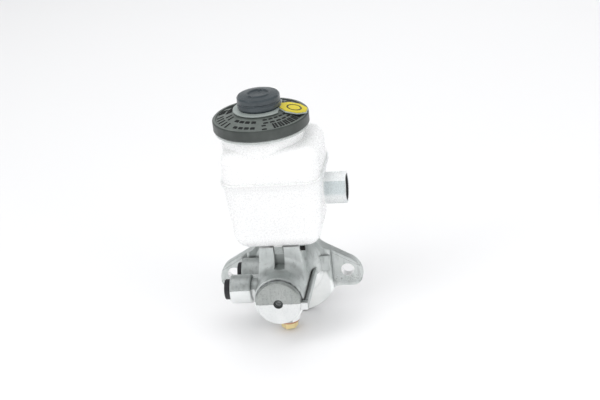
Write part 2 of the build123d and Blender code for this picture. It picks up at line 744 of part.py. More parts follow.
save(coil_spring(bore_end_y + 0.1, secondary_front_y - 0.1, 6.6, 0.9, 5.0), "secondary_spring")
save(coil_spring(-17.3, 7.9, 5.45, 0.65, 8.0), "primary_spring")


# ---------------------------------------------------------------- rear bearing and fasteners
save(turned_on_bore([(19.85, 8.15), (19.85, 12.4), (20.85, 12.4), (20.85, 8.15)]), "stop_washer")
save(turned_on_bore([
    (20.9, 8.05), (20.9, 12.45), (29.95, 12.45), (29.95, 10.2), (26.4, 10.2), (26.4, 8.05),
]), "rear_bearing")
save(turned_on_bore([
    (26.5, 8.04), (26.5, 10.15), (29.9, 10.15), (29.9, 9.5), (28.0, 9.3), (28.0, 8.9),
    (29.9, 8.5), (29.9, 8.04),
]), "rear_bearing_seal")

with BuildPart() as snap_ring:
    with BuildSketch(station(31.5)):
        Circle(13.5)
        Circle(11.3, mode=Mode.SUBTRACT)
        with Locations((0, -12.4)):
            Rectangle(7.0, 5.0, mode=Mode.SUBTRACT)
        with Locations((5.0, -10.9), (-5.0, -10.9)):
            Circle(1.6)
        with Locations((5.0, -10.9), (-5.0, -10.9)):
            Circle(0.7, mode=Mode.SUBTRACT)
    extrude(amount=1.3)
save(snap_ring.part, "snap_ring")

with BuildPart() as spigot_o_ring:
    with BuildSketch(Plane.YZ):
        with Locations((6.4, bore_z + 16.1)):
            Circle(1.07)
    revolve(axis=Axis((0, 0, bore_z), (0, 1, 0)))
save(spigot_o_ring.part, "spigot_o_ring")

washer_rise = bolt_boss_rise - 1.5
head_rise = washer_rise - bolt_head_height
with BuildPart() as stop_bolt:
    with BuildSketch(Plane.XY.offset(rise(head_rise))):
        with Locations((0, stop_bolt_y)):
            RegularPolygon(5.0, 6, major_radius=False, rotation=12)
    extrude(amount=washer_rise - head_rise - 0.02)
    with BuildSketch(Plane.XY.offset(rise(head_rise))):
        with Locations((0, stop_bolt_y)):
            Circle(3.97)
    extrude(amount=17.4)
    with BuildSketch(Plane.XY.offset(rise(head_rise))):
        with Locations((0, stop_bolt_y)):
            Circle(stop_bolt_tip_radius)
    extrude(amount=-head_rise - 6.2)
save(stop_bolt.part, "stop_bolt")
save(turned_upright(0, stop_bolt_y, [
    (4.1, washer_rise), (6.9, washer_rise), (6.9, bolt_boss_rise - 0.02), (4.1, bolt_boss_rise - 0.02),
]), "stop_bolt_washer")


# ---------------------------------------------------------------- outlet seats and plugs
with BuildPart() as outlet_seats:
    for end_x, port_y in ((front_port_end_x, front_port_y), (rear_port_end_x, rear_port_y)):
        tip_x = end_x + port_depth - 3.2
        with BuildSketch(Plane.XY.offset(bore_z)):
            with BuildLine():
                Polyline([
                    (tip_x, port_y + 1.2), (tip_x, port_y + 1.5), (tip_x + 2.0, port_y + 2.97),
                    (tip_x + 7.1, port_y + 2.97), (tip_x + 7.1, port_y + 1.2),
                ], close=True)
            make_face()
        revolve(axis=Axis((0, port_y, bore_z), (1, 0, 0)))
save(outlet_seats.part, "outlet_seats")

for name, end_x, port_y, flange_thickness in (
    ("front_port_plug", front_port_end_x, front_port_y, 4.2),
    ("rear_port_plug", rear_port_end_x, rear_port_y, 3.3),
):
    with BuildPart() as plug:
        with BuildSketch(side_plane(end_x - 0.05, port_y, 0)):
            Circle(6.9)
        extrude(amount=flange_thickness)
        fillet(plug.edges().sort_by(Axis.X)[0], 0.8)
        with BuildSketch(side_plane(end_x - 0.05, port_y, 0, (1, 0, 0))):
            Circle(port_radius - 0.25)
        extrude(amount=7.5, taper=2)
    save(plug.part, name)
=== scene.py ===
"""Looks of the brake master cylinder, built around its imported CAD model."""
import json
import math

import bpy
import bmesh
from mathutils import Matrix, Vector


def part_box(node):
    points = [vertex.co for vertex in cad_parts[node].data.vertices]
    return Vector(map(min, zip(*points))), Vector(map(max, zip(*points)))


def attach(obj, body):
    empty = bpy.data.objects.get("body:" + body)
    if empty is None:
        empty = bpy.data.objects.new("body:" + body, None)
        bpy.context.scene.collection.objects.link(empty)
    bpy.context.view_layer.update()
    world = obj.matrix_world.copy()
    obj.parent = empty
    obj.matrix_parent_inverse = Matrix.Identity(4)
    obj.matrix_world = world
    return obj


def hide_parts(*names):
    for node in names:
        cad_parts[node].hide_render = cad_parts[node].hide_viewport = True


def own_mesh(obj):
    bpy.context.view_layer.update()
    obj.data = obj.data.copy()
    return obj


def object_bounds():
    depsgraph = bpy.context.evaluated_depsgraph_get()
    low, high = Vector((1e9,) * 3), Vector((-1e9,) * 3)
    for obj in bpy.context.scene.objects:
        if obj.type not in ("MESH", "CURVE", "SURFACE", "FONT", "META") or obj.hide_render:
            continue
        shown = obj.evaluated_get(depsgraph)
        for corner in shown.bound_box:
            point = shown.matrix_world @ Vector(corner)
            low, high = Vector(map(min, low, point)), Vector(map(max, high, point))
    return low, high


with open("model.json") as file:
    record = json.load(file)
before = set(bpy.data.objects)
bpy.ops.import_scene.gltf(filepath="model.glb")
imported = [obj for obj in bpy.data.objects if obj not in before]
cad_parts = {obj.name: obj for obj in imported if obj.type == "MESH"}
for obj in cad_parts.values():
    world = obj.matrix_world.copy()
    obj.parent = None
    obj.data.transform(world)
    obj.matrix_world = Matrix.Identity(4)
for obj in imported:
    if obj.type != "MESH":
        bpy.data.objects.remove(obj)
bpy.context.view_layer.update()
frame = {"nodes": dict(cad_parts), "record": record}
nodes = frame["nodes"]
mounts = {mount["name"]: mount["pos_m"] for mount in frame["record"]["mounts"]}
BORE_Z = mounts["push_rod_socket"][2]
CONNECTOR_Z = mounts["level_connector"][2]
MM = 0.001

# ---------------------------------------------------------------- places on the casting
NOSE_Y, NOSE_STEP_FRONT_Y, NOSE_STEP_BACK_Y = -63.75 * MM, -62.25 * MM, -61.25 * MM
FLANGE_FRONT_Y, MOUNTING_FACE_Y = -11 * MM, mounts["mounting_face"][1]
BOLT_X, BOLT_HOLE_RADIUS = 40 * MM, 4.64 * MM
OUTLET_ROOT_X, OUTLET_PARTING_RISE = -18 * MM, 3 * MM
OUTLET_FACE_RADIUS = 10 * MM
LEDGE_X, LEDGE_PARTING_DROP = 15.4 * MM, 5.2 * MM
HUB_WIDTH, EAR_PARTING_DROP = 28 * MM, 12 * MM
EAR_LINE_X, EAR_LINE_FOOT, EAR_LINE_TOP, EAR_LINE_FALL = 29.4 * MM, 2 * MM, 13.6 * MM, 0.58
EAR_BAND_LOW_Z, EAR_BAND_TOP_Z = -9.5 * MM, -4.25 * MM
WINDOW_HALF_WIDTH, WINDOW_WALL_Y = 3.7 * MM, -39.9 * MM
WINDOW_LOW_Z, WINDOW_TOP_Z = BORE_Z + 16 * MM, BORE_Z + 31 * MM
NECK_TOP_Z = BORE_Z + 30.8 * MM
CENTRING_HOLE_RADIUS = 3.175 * MM

# ---------------------------------------------------------------- places on the reservoir
BEAD_LOW_Z, BEAD_TOP_Z = 117.5 * MM, 119.6 * MM
SHELL_X = 34.5 * MM
TAB_TOP_Z, TAB_BACK_Y = BORE_Z + 31 * MM, -37.2 * MM


# ---------------------------------------------------------------- materials
class Shader:
    """A Principled material with a few short ways to wire procedural nodes."""

    def __init__(self, name, colour, roughness, metallic=0.0, **sockets):
        self.material = bpy.data.materials.new(name)
        self.material.use_nodes = True
        self.tree = self.material.node_tree
        self.surface = next(n for n in self.tree.nodes if n.type == "BSDF_PRINCIPLED")
        self.surface.inputs["Base Color"].default_value = (*colour, 1)
        self.surface.inputs["Roughness"].default_value = roughness
        self.surface.inputs["Metallic"].default_value = metallic
        for socket, value in sockets.items():
            self.surface.inputs[socket.replace("_", " ")].default_value = value
        self.place = self.tree.nodes.new("ShaderNodeTexCoord").outputs["Object"]

    def node(self, kind, inputs=None, **settings):
        made = self.tree.nodes.new("ShaderNode" + kind)
        for key, value in settings.items():
            setattr(made, key, value)
        for key, value in (inputs or {}).items():
            if isinstance(value, bpy.types.NodeSocket):
                self.tree.links.new(value, made.inputs[key])
            else:
                made.inputs[key].default_value = value
        return made

    def drive(self, socket, value):
        self.tree.links.new(value, self.surface.inputs[socket])

    # textures and measures of a place
    def stretched(self, scale):
        return self.node("Mapping", {"Vector": self.place, "Scale": scale}).outputs["Vector"]

    def noise(self, scale, detail, roughness, vector=None):
        made = self.node("TexNoise", {"Vector": vector or self.place, "Scale": scale,
                                      "Detail": detail, "Roughness": roughness})
        return made.outputs["Fac"]

    def along(self, axis):
        return self.node("SeparateXYZ", {0: self.place}).outputs[axis]

    def facing(self, axis):
        """How far the true surface faces along an axis, from -1 to 1."""
        normal = self.node("NewGeometry").outputs["Normal"]
        return self.node("SeparateXYZ", {0: normal}).outputs[axis]

    def crevices(self, distance):
        """1 on open surfaces, falling to 0 in corners and grooves."""
        return self.node("AmbientOcclusion", {"Distance": distance}, samples=4).outputs["AO"]

    def softened(self, radius):
        """Normals rounded over the sharp edges, as on a worn die casting."""
        return self.node("Bevel", {"Radius": radius}, samples=4).outputs["Normal"]

    # arithmetic
    def maths(self, operation, first, second=0.0):
        return self.node("Math", {0: first, 1: second}, operation=operation).outputs[0]

    def chained(self, operation, values):
        total = values[0]
        for value in values[1:]:
            total = self.maths(operation, total, value)
        return total

    def times(self, *values):
        return self.chained("MULTIPLY", values)

    def plus(self, *values):
        return self.chained("ADD", values)

    def greatest(self, *values):
        return self.chained("MAXIMUM", values)

    def less(self, first, second):
        return self.maths("SUBTRACT", first, second)

    def absolute(self, value):
        return self.maths("ABSOLUTE", value)

    def distance(self, first, second):
        """Length of the step made by two steps at right angles."""
        return self.maths("SQRT", self.plus(self.times(first, first), self.times(second, second)))

    def ranged(self, value, low, high, first, last):
        made = self.node("MapRange", {"Value": value, "From Min": low, "From Max": high,
                                      "To Min": first, "To Max": last})
        return made.outputs["Result"]

    def past(self, value, place, soft):
        """0 before a place and 1 past it; soft is the width of the edge between them."""
        return self.ranged(value, place - soft / 2, place + soft / 2, 0.0, 1.0)

    def until(self, value, place, soft):
        return self.ranged(value, place - soft / 2, place + soft / 2, 1.0, 0.0)

    def line(self, value, half_width):
        """1 where a value is 0, fading to 0 on both sides."""
        return self.ranged(self.absolute(value), 0.0, half_width, 1.0, 0.0)

    # colours and relief
    def ramp(self, value, *stops):
        made = self.node("ValToRGB", {"Fac": value})
        elements = made.color_ramp.elements
        while len(elements) < len(stops):
            elements.new(0.5)
        for element, (position, colour) in zip(elements, stops):
            element.position = position
            element.color = (*colour, 1)
        return made.outputs["Color"]

    def mix(self, factor, first, second):
        made = self.node("Mix", {0: factor}, data_type="RGBA")
        for index, value in ((6, first), (7, second)):
            if isinstance(value, bpy.types.NodeSocket):
                self.tree.links.new(value, made.inputs[index])
            else:
                made.inputs[index].default_value = (*value, 1)
        return made.outputs[2]

    def bump(self, height, distance, strength, below=None):
        made = self.node("Bump", {"Height": height, "Distance": distance, "Strength": strength})
        if below:
            self.tree.links.new(below, made.inputs["Normal"])
        self.drive("Normal", made.outputs["Normal"])


class CastAluminium(Shader):
    """Die-cast body. Its upper die half is grainier than the lower one and is painted darker as painted
    shade, while the lower half is painted lighter as painted light thrown up from the floor. Methods give
    masks, which run from 0 to 1, or take the tone so far and return it with marks added."""

    def __init__(self):
        super().__init__("cast_aluminium", (0.6, 0.61, 0.61), 0.42, 0.92)
        self.x, self.y, self.z = (self.along(axis) for axis in "XYZ")
        self.width = self.absolute(self.x)
        self.from_axis = self.distance(self.x, self.less(self.z, BORE_Z))
        self.blotch = self.noise(70, 5, 0.6)
        self.streak = self.noise(420, 4, 0.6, self.stretched((1.0, 1.0, 0.16)))
        self.grain = self.noise(900, 4, 0.65)
        self.wobble = self.times(self.less(self.noise(260, 4, 0.7), 0.5), 1.6 * MM)

        self.barrel = self.until(self.y, FLANGE_FRONT_Y, 1 * MM)
        self.flange = self.less(1.0, self.barrel)
        self.nose = self.until(self.y, NOSE_Y, 0.5 * MM)
        self.outlets = self.until(self.x, OUTLET_ROOT_X, 1 * MM)
        self.upper, self.flash = self.die_halves()
        self.turned = self.turned_faces()
        ridges = self.node("CombineXYZ", {"X": self.from_axis, "Y": self.y}).outputs[0]
        self.tool = self.node("TexNoise", {"Vector": ridges, "Scale": 4200.0, "Detail": 2.0}).outputs["Fac"]

        # Painted light and shade: the lower half gets the lit tones and the upper half the shaded ones.
        tone = self.grained(self.mix(self.upper, self.painted_lit_half(), self.painted_shaded_half()))
        for add_marks in (self.nose_step_shade, self.bolt_hole_glare, self.flash_line, self.ear_lines,
                          self.ear_speckle, self.window_wall_shade, self.centring_hole_shade):
            tone = add_marks(tone)
        tooled = self.ramp(self.tool, (0.3, (0.62, 0.63, 0.63)), (0.7, (0.78, 0.785, 0.78)))
        self.drive("Base Color", self.mix(self.turned, tone, tooled))
        self.polish()
        self.relief()

    def die_halves(self):
        """The upper half's mask and the thin, wandering flash line where the halves met. The
        parting line follows the bore axis. It steps up across the outlets and down over the
        ledge's outer face, and on the flange it drops from the hub to the ears."""
        ledge = self.times(self.past(self.x, LEDGE_X, 0.4 * MM), self.past(self.facing("X"), 0.65, 0.1))
        rise = self.less(self.times(self.outlets, OUTLET_PARTING_RISE),
                         self.times(ledge, LEDGE_PARTING_DROP))
        above = self.less(self.less(self.z, self.plus(rise, BORE_Z)), self.wobble)
        drop = self.times(self.past(self.width, HUB_WIDTH, 6 * MM), EAR_PARTING_DROP)
        above_on_flange = self.plus(self.z, drop, self.times(self.wobble, 3.0))
        upper = self.plus(self.times(self.past(above, 0.0, 0.2 * MM), self.barrel),
                          self.times(self.past(above_on_flange, 0.0, 4 * MM), self.flange))
        return upper, self.times(self.line(above, 0.22 * MM), self.barrel)

    def turned_faces(self):
        """The mounting face and all behind it, the neck's top and the outlets' end faces."""
        turned = self.greatest(self.past(self.y, MOUNTING_FACE_Y - 0.35 * MM, 0.3 * MM),
                               self.past(self.z, NECK_TOP_Z, 0.2 * MM))
        for outlet in ("front_outlet", "rear_outlet"):
            outlet_x, outlet_y, _ = mounts[outlet]
            off_face = self.absolute(self.less(self.x, outlet_x))
            off_axis = self.absolute(self.less(self.y, outlet_y))
            face = self.times(self.until(off_face, 0.225 * MM, 0.15 * MM),
                              self.until(off_axis, OUTLET_FACE_RADIUS, 0.4 * MM))
            turned = self.greatest(turned, face)
        return turned

    def painted_lit_half(self):
        # Painted light: lit tones for the lower half, as from the floor's bounce.
        light = self.ramp(self.blotch, (0.28, (0.82, 0.84, 0.835)), (0.7, (0.96, 0.97, 0.965)))
        at_nose = self.ramp(self.blotch, (0.28, (0.74, 0.76, 0.755)), (0.7, (0.86, 0.87, 0.865)))
        light = self.mix(self.nose, light, at_nose)
        return self.mix(self.times(self.outlets, 0.6), light, (0.66, 0.68, 0.675))

    def painted_shaded_half(self):
        # Painted shade: shaded tones for the upper half.
        dark = self.ramp(self.blotch, (0.28, (0.5, 0.53, 0.52)), (0.55, (0.62, 0.65, 0.64)),
                         (0.8, (0.72, 0.745, 0.735)))
        at_nose = self.ramp(self.blotch, (0.3, (0.36, 0.38, 0.365)), (0.7, (0.48, 0.5, 0.485)))
        return self.mix(self.nose, dark, at_nose)

    def grained(self, tone):
        """Die streaks and pores on the upper half, painted shade in corners, and a mottled nose."""
        streaks = self.times(self.ranged(self.streak, 0.52, 0.66, 0.0, 0.3), self.upper)
        tone = self.mix(streaks, tone, (0.27, 0.285, 0.28))
        pores = self.node("TexVoronoi", {"Vector": self.place, "Scale": 330.0, "Randomness": 1.0},
                          feature="F1").outputs["Distance"]
        pits = self.times(self.ranged(pores, 0.05, 0.13, 0.5, 0.0), self.upper)
        tone = self.mix(pits, tone, (0.25, 0.255, 0.255))
        # Painted shade: corners and grooves darken by the occlusion measure.
        corner_shade = self.ranged(self.crevices(2.2 * MM), 0.4, 0.92, 0.8, 0.0)
        tone = self.mix(corner_shade, tone, (0.11, 0.115, 0.115))
        mottle = self.times(self.ranged(self.noise(1300, 3, 0.7), 0.52, 0.64, 0.0, 0.4), self.nose,
                            self.ranged(self.upper, 0.0, 1.0, 0.25, 1.0))
        return self.mix(mottle, tone, (0.16, 0.17, 0.165))

    def nose_step_shade(self, tone):
        """Painted shade: a dark line in the step behind the nose."""
        ragged_y = self.plus(self.y, self.times(self.wobble, 0.4))
        step = self.times(self.past(self.y, NOSE_STEP_FRONT_Y, 0.3 * MM),
                          self.until(ragged_y, NOSE_STEP_BACK_Y, 0.3 * MM))
        strength = self.ranged(self.streak, 0.35, 0.6, 0.45, 0.9)
        return self.mix(self.times(step, self.upper, strength), tone, (0.1, 0.105, 0.105))

    def bolt_hole_glare(self, tone):
        """Painted light: the walls of the drilled flange holes are painted white."""
        from_bolt = self.distance(self.less(self.width, BOLT_X), self.z)
        return self.mix(self.until(from_bolt, BOLT_HOLE_RADIUS, 0.12 * MM), tone, (1.0, 1.0, 1.0))

    def flash_line(self, tone):
        return self.mix(self.times(self.flash, 0.7), tone, (0.16, 0.165, 0.165))

    def ear_lines(self, tone):
        """Thin dark lines: one upright by the hub, and one falling from its top to the ear's end."""
        ragged_width = self.plus(self.width, self.times(self.wobble, 0.6))
        upright = self.times(self.line(self.less(ragged_width, EAR_LINE_X), 0.25 * MM),
                             self.past(self.z, EAR_LINE_FOOT, 2 * MM),
                             self.until(self.z, EAR_LINE_TOP - 0.3 * MM, 1 * MM))
        fall = self.times(self.less(self.width, EAR_LINE_X), EAR_LINE_FALL)
        off_slope = self.less(self.plus(self.z, self.wobble), self.less(EAR_LINE_TOP, fall))
        sloping = self.times(self.line(off_slope, 0.28 * MM),
                             self.past(self.width, EAR_LINE_X - 0.15 * MM, 0.3 * MM))
        lines = self.times(self.greatest(upright, sloping), self.flange,
                           self.ranged(self.streak, 0.35, 0.6, 0.35, 0.9))
        return self.mix(lines, tone, (0.2, 0.21, 0.205))

    def ear_speckle(self, tone):
        """A grainy band along the ears' lower edge."""
        band = self.times(self.past(self.z, EAR_BAND_LOW_Z, 2 * MM),
                          self.until(self.z, EAR_BAND_TOP_Z, 2.5 * MM),
                          self.past(self.width, HUB_WIDTH + 1 * MM, 4 * MM), self.flange)
        speckle = self.times(band, self.ranged(self.grain, 0.5, 0.62, 0.0, 0.55))
        return self.mix(speckle, tone, (0.24, 0.25, 0.245))

    def window_wall_shade(self, tone):
        """Painted shade: the back wall of the neck's window is painted darker towards its foot."""
        off_wall = self.absolute(self.less(self.y, WINDOW_WALL_Y))
        wall_shade = self.times(self.until(self.width, WINDOW_HALF_WIDTH, 0.2 * MM),
                          self.until(off_wall, 0.4 * MM, 0.2 * MM),
                          self.ranged(self.z, WINDOW_LOW_Z, WINDOW_TOP_Z, 0.8, 0.5))
        return self.mix(wall_shade, tone, (0.36, 0.38, 0.37))

    def centring_hole_shade(self, tone):
        """Painted shade darkens the centring hole in the nose."""
        hole = self.times(self.until(self.from_axis, CENTRING_HOLE_RADIUS, 0.15 * MM), self.nose)
        return self.mix(hole, tone, (0.1, 0.11, 0.105))

    def polish(self):
        rough = self.ranged(self.grain, 0.3, 0.7, 0.34, 0.52)
        rough = self.less(rough, self.ranged(self.upper, 0.0, 1.0, 0.06, 0.0))
        self.drive("Roughness", self.less(rough, self.times(self.turned, 0.12)))
        bare = self.greatest(self.upper, self.nose, self.turned)
        self.drive("Metallic", self.ranged(bare, 0.0, 1.0, 0.45, 0.92))

    def relief(self):
        height = self.plus(self.times(self.grain, 0.7), self.times(self.noise(2600, 2, 0.6), 0.25),
                           self.times(self.blotch, 0.6))
        height = self.times(height, self.ranged(self.upper, 0.0, 1.0, 0.45, 1.0))
        height = self.plus(height, self.times(self.flash, 0.8))
        height = self.node("Mix", {0: self.turned, 2: height, 3: self.times(self.tool, 0.25)},
                           data_type="FLOAT").outputs[0]
        self.bump(height, 0.22 * MM, 0.5, self.softened(0.6 * MM))


def machined(name, colour, roughness, stretch=(1, 1, 1)):
    """Turned metal: fine tool lines, a light stain and a little scatter."""
    s = Shader(name, colour, roughness, 1.0)
    stain = s.noise(110, 4, 0.6)
    tool = s.noise(5200, 2, 0.5, s.stretched(stretch))
    darker = tuple(c * 0.78 for c in colour)
    s.drive("Base Color", s.mix(s.ranged(stain, 0.3, 0.75, 0.0, 1.0), darker, colour))
    s.drive("Roughness", s.ranged(tool, 0.3, 0.7, roughness * 0.75, roughness * 1.3))
    s.bump(tool, 0.03 * MM, 0.4)
    return s.material


def moulded(name, colour, roughness, grain=1500, depth=0.05 * MM, **sockets):
    """Moulded plastic: fine spark-eroded grain, slight flow marks and dust."""
    s = Shader(name, colour, roughness, **sockets)
    cloud = s.noise(55, 4, 0.6)
    fine = s.noise(grain, 3, 0.6)
    lighter = tuple(min(1.0, c * 1.25 + 0.006) for c in colour)
    s.drive("Base Color", s.mix(s.ranged(cloud, 0.35, 0.7, 0.0, 1.0), colour, lighter))
    s.drive("Roughness", s.ranged(fine, 0.3, 0.7, roughness * 0.85, min(1.0, roughness * 1.18)))
    s.bump(fine, depth, 0.5)
    return s.material


def plated(name, colour, roughness, tint):
    """Zinc or oxide plating: the passivation's tint drifts over the surface."""
    s = Shader(name, colour, roughness, 0.95)
    drift = s.noise(160, 3, 0.6)
    fine = s.noise(1800, 3, 0.6)
    s.drive("Base Color", s.mix(s.ranged(drift, 0.3, 0.7, 0.0, 1.0), colour, tint))
    s.drive("Roughness", s.ranged(fine, 0.3, 0.7, roughness * 0.8, roughness * 1.25))
    s.bump(fine, 0.04 * MM, 0.4)
    return s.material


def rubber(name, colour, roughness, depth=0.04 * MM):
    """Rubber with a dusty bloom."""
    s = Shader(name, colour, roughness)
    bloom = s.noise(90, 5, 0.65)
    fine = s.noise(2000, 3, 0.6)
    dusty = tuple(c * 1.35 + 0.007 for c in colour)
    s.drive("Base Color", s.mix(s.ranged(bloom, 0.35, 0.72, 0.0, 1.0), colour, dusty))
    s.drive("Roughness", s.ranged(fine, 0.3, 0.7, roughness * 0.85, min(1.0, roughness * 1.15)))
    s.bump(fine, depth, 0.5)
    return s.material


def cap_plastic():
    """Black cap moulding; its upward-facing sloping face is painted a lighter greenish grey as a painted
    sheen, with scuff marks on it.
    """
    s = Shader("cap_black", (0.012, 0.015, 0.014), 0.4)
    cloud = s.ranged(s.noise(60, 5, 0.65), 0.35, 0.7, 0.0, 1.0)
    fine = s.noise(1100, 3, 0.6)
    scuff = s.noise(300, 4, 0.6, s.stretched((1.0, 0.3, 1.0)))
    side = s.mix(cloud, (0.03, 0.036, 0.033), (0.055, 0.063, 0.058))
    face = s.mix(cloud, (0.095, 0.108, 0.1), (0.15, 0.168, 0.157))
    face = s.mix(s.ranged(scuff, 0.55, 0.7, 0.0, 0.3), face, (0.16, 0.175, 0.165))
    # Painted sheen: faces turned up take the lighter greenish grey.
    up = s.ranged(s.facing("Z"), 0.75, 0.9, 0.0, 1.0)
    s.drive("Base Color", s.mix(up, side, face))
    s.drive("Roughness", s.ranged(fine, 0.3, 0.7, 0.34, 0.46))
    s.bump(fine, 0.08 * MM, 0.5)
    return s.material


def reservoir_plastic():
    """Milky nylon, lit through. The connector shell's wall is painted a flow-marked blue-grey as painted
    shade of its hollow inside seen through it, darker still in a band whose sharp top edge leaves a lighter
    strip along the top as a painted highlight. The bead under the cap is greyer, and the tab in the neck's
    window is painted in shade."""
    s = Shader("reservoir_nylon", (0.97, 0.975, 0.972), 0.28, IOR=1.45,
               Transmission_Weight=0.1, Subsurface_Weight=0.5, Subsurface_Scale=10 * MM)
    s.surface.inputs["Subsurface Radius"].default_value = (1.0, 1.0, 1.0)
    x, y, z = (s.along(axis) for axis in "XYZ")
    cloud = s.ranged(s.noise(40, 4, 0.55), 0.3, 0.7, 0.0, 1.0)
    tone = s.mix(cloud, (0.965, 0.972, 0.97), (0.985, 0.988, 0.986))

    flow = s.ranged(s.noise(220, 4, 0.6, s.stretched((0.25, 1.0, 1.0))), 0.35, 0.65, 0.0, 1.0)
    # Painted shade: the connector shell's wall takes a blue-grey, as of its hollow inside seen through it.
    wall_shade = s.mix(flow, (0.5, 0.56, 0.575), (0.66, 0.71, 0.715))
    shell = s.past(x, SHELL_X, 1.4 * MM)
    tone = s.mix(s.times(shell, 0.45), tone, wall_shade)
    # Painted shade in a band below the shell's top; the lighter strip left above the band's sharp top edge
    # is a painted highlight.
    clear = s.times(s.past(z, CONNECTOR_Z - 0.8 * MM, 2.8 * MM),
                    s.until(z, CONNECTOR_Z + 7.6 * MM, 0.4 * MM), shell)
    tone = s.mix(s.times(clear, 0.7), tone, (0.42, 0.49, 0.505))

    bead = s.times(s.past(z, BEAD_LOW_Z, 0.2 * MM), s.until(z, BEAD_TOP_Z, 0.2 * MM))
    tone = s.mix(s.times(bead, 0.9), tone, (0.36, 0.39, 0.38))
    tab = s.times(s.until(z, TAB_TOP_Z, 0.4 * MM), s.until(y, TAB_BACK_Y, 0.4 * MM))
    s.drive("Base Color", s.mix(tab, tone, (0.42, 0.45, 0.44)))

    fine = s.noise(1300, 3, 0.6)
    s.drive("Roughness", s.ranged(fine, 0.3, 0.7, 0.22, 0.34))
    s.bump(fine, 0.006 * MM, 0.2)
    return s.material


ROUND_THE_BORE = (0.04, 1, 0.04)
ACROSS = (1, 0.04, 0.04)
slots = {
    "cast_aluminium": CastAluminium().material,
    "reservoir_nylon": reservoir_plastic(),
    "cap_black": cap_plastic(),
    "boot_rubber": rubber("boot_rubber", (0.034, 0.043, 0.049), 0.25, 0.005 * MM),
    "seal_rubber": rubber("seal_rubber", (0.012, 0.012, 0.014), 0.55),
    "plug_rubber": rubber("plug_rubber", (0.008, 0.008, 0.01), 0.5),
    "tag_ring_plastic": moulded("tag_ring_plastic", (0.29, 0.325, 0.31), 0.3),
    "tag_yellow": moulded("tag_yellow", (0.52, 0.43, 0.02), 0.32, Specular_IOR_Level=0.3),
    "switch_black": moulded("switch_black", (0.02, 0.021, 0.023), 0.45),
    "tinned_brass": plated("tinned_brass", (0.72, 0.71, 0.68), 0.3, (0.78, 0.72, 0.6)),
    "pin_black_steel": plated("pin_black_steel", (0.02, 0.02, 0.022), 0.45, (0.04, 0.038, 0.036)),
    "float_plastic": moulded("float_plastic", (0.68, 0.66, 0.58), 0.75, 500, 0.2 * MM),
    "magnet": moulded("magnet", (0.06, 0.06, 0.062), 0.65, 700, 0.1 * MM),
    "strainer_nylon": moulded("strainer_nylon", (0.8, 0.81, 0.79), 0.4),
    "piston_aluminium": machined("piston_aluminium", (0.6, 0.56, 0.46), 0.3, ROUND_THE_BORE),
    "bearing_aluminium": machined("bearing_aluminium", (0.66, 0.67, 0.68), 0.3, ROUND_THE_BORE),
    "spring_steel": plated("spring_steel", (0.3, 0.3, 0.31), 0.34, (0.38, 0.36, 0.34)),
    "zinc_steel": plated("zinc_steel", (0.58, 0.6, 0.62), 0.32, (0.66, 0.66, 0.68)),
    "yellow_zinc": plated("yellow_zinc", (1.0, 0.82, 0.42), 0.36, (0.96, 0.84, 0.5)),
    "copper": machined("copper", (0.7, 0.38, 0.24), 0.36),
    "seat_brass": machined("seat_brass", (0.72, 0.56, 0.28), 0.28, ACROSS),
}
for part in frame["record"]["subparts"]:
    obj = nodes[part["node"]]
    obj.data.materials.clear()
    obj.data.materials.append(slots[part["material_slot"]])
    obj.data.polygons.foreach_set("material_index", [0] * len(obj.data.polygons))


# ---------------------------------------------------------------- added pieces
def as_object(name, mesh_data, material, body, smooth=True):
    mesh = bpy.data.meshes.new(name)
    mesh_data.to_mesh(mesh)
    mesh_data.free()
    obj = bpy.data.objects.new(name, mesh)
    bpy.context.scene.collection.objects.link(obj)
    mesh.materials.append(slots[material])
    mesh.polygons.foreach_set("use_smooth", [smooth] * len(mesh.polygons))
    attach(obj, body)
    return obj


def swept(rings, closed=False):
    """A bmesh skin over rings of points, each ring with the same number of points."""
    mesh = bmesh.new()
    rows = [[mesh.verts.new(point) for point in ring] for ring in rings]
    count = len(rows[0])
    pairs = list(zip(rows, rows[1:])) + ([(rows[-1], rows[0])] if closed else [])
    for first, second in pairs:
        for i in range(count):
            mesh.faces.new((first[i], first[(i + 1) % count], second[(i + 1) % count], second[i]))
    if not closed:
        mesh.faces.new(list(reversed(rows[0])))
        mesh.faces.new(rows[-1])
    bmesh.ops.recalc_face_normals(mesh, faces=mesh.faces)
    return mesh


def joined(meshes):
    whole = bmesh.new()
    for mesh in meshes:
        data = bpy.data.meshes.new("part")
        mesh.to_mesh(data)
        mesh.free()
        whole.from_mesh(data)
        bpy.data.meshes.remove(data)
    return whole


def circle(count):
    """Cosine and sine of equal steps round a circle."""
    angles = [2 * math.pi * i / count for i in range(count)]
    return [(math.cos(angle), math.sin(angle)) for angle in angles]


cap_low, cap_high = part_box("filler_cap")
cap_x, cap_y = (cap_low.x + cap_high.x) / 2, (cap_low.y + cap_high.y) / 2
CONE_INNER, CONE_OUTER, CONE_FALL = 14.5 * MM, 28.8 * MM, 4.5 * MM
DASH_HEIGHT, DASH_FOOT, DASH_CHAMFER = 0.35 * MM, -0.2 * MM, 0.18 * MM
DASH_SHOULDER = 0.6 * DASH_HEIGHT
DASH_WIDTH, DASH_END_DROP = 1.15 * MM, 0.12 * MM
BAR_HEIGHT, MIDDLE_BAR_HEIGHT = 1.1 * MM, 2 * MM


def cone_z(radius):
    """Height of the cap's sloping face at a radius from its axis."""
    return cap_high.z - (radius - CONE_INNER) * CONE_FALL / (CONE_OUTER - CONE_INNER)


